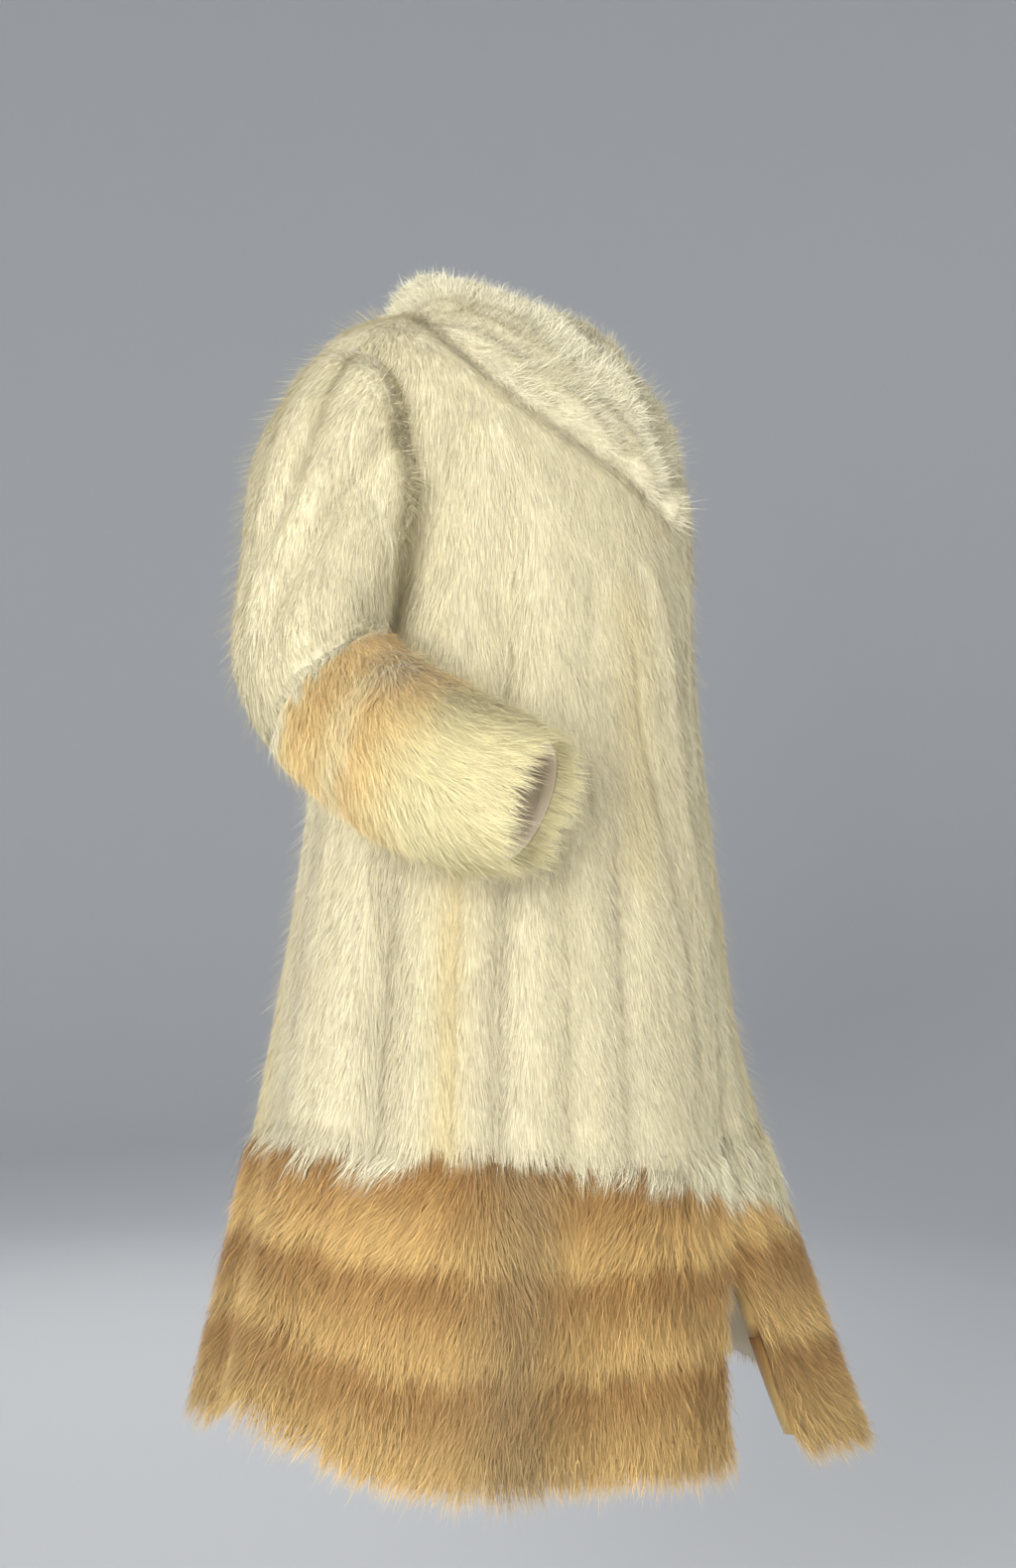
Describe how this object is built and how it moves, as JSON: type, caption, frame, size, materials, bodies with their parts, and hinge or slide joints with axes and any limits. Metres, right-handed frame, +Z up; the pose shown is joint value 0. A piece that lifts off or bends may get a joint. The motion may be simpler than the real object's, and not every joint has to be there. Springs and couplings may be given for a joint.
{
  "type": "fur coat",
  "caption": "Knee-length cream fur coat, hollow as worn, with tan fur bands round the hem and sleeves, a narrow collar and fronts that lap at the chest and part at the hem.",
  "frame": {"origin": "the middle of the shoulders, level with the nape, where the wearer carries the coat: mount wearer_shoulders", "axes": "+Z up, the wearer faces -Y, the wearer's left is +X"},
  "size_m": [0.6647, 0.5274, 1.0318],
  "materials": {
    "cream_fur": "long cream fur lying downward, matt with soft bright tips, on a pale leather side",
    "tan_fur": "long tan fur, browner at the top of each band and golden at its hanging tips",
    "collar_fur": "short dense fluffy pale fur"
  },
  "bodies": {
    "root": {"right_hem_lower": "tan_fur", "back_hem_lower": "tan_fur", "left_hem_lower": "tan_fur", "right_hem_middle": "tan_fur", "back_hem_middle": "tan_fur", "left_hem_middle": "tan_fur", "right_hem_upper": "tan_fur", "back_hem_upper": "tan_fur", "left_hem_upper": "tan_fur", "right_front": "cream_fur", "back": "cream_fur", "left_front": "cream_fur", "right_sleeve": "cream_fur", "right_sleeve_tan_upper": "tan_fur", "right_sleeve_stripe": "cream_fur", "right_sleeve_tan_lower": "tan_fur", "right_cuff": "cream_fur", "left_sleeve": "cream_fur", "left_sleeve_tan_upper": "tan_fur", "left_sleeve_stripe": "cream_fur", "left_sleeve_tan_lower": "tan_fur", "left_cuff": "cream_fur", "collar_right": "collar_fur", "collar_back": "collar_fur", "collar_left": "collar_fur"}
  },
  "joints": []
}
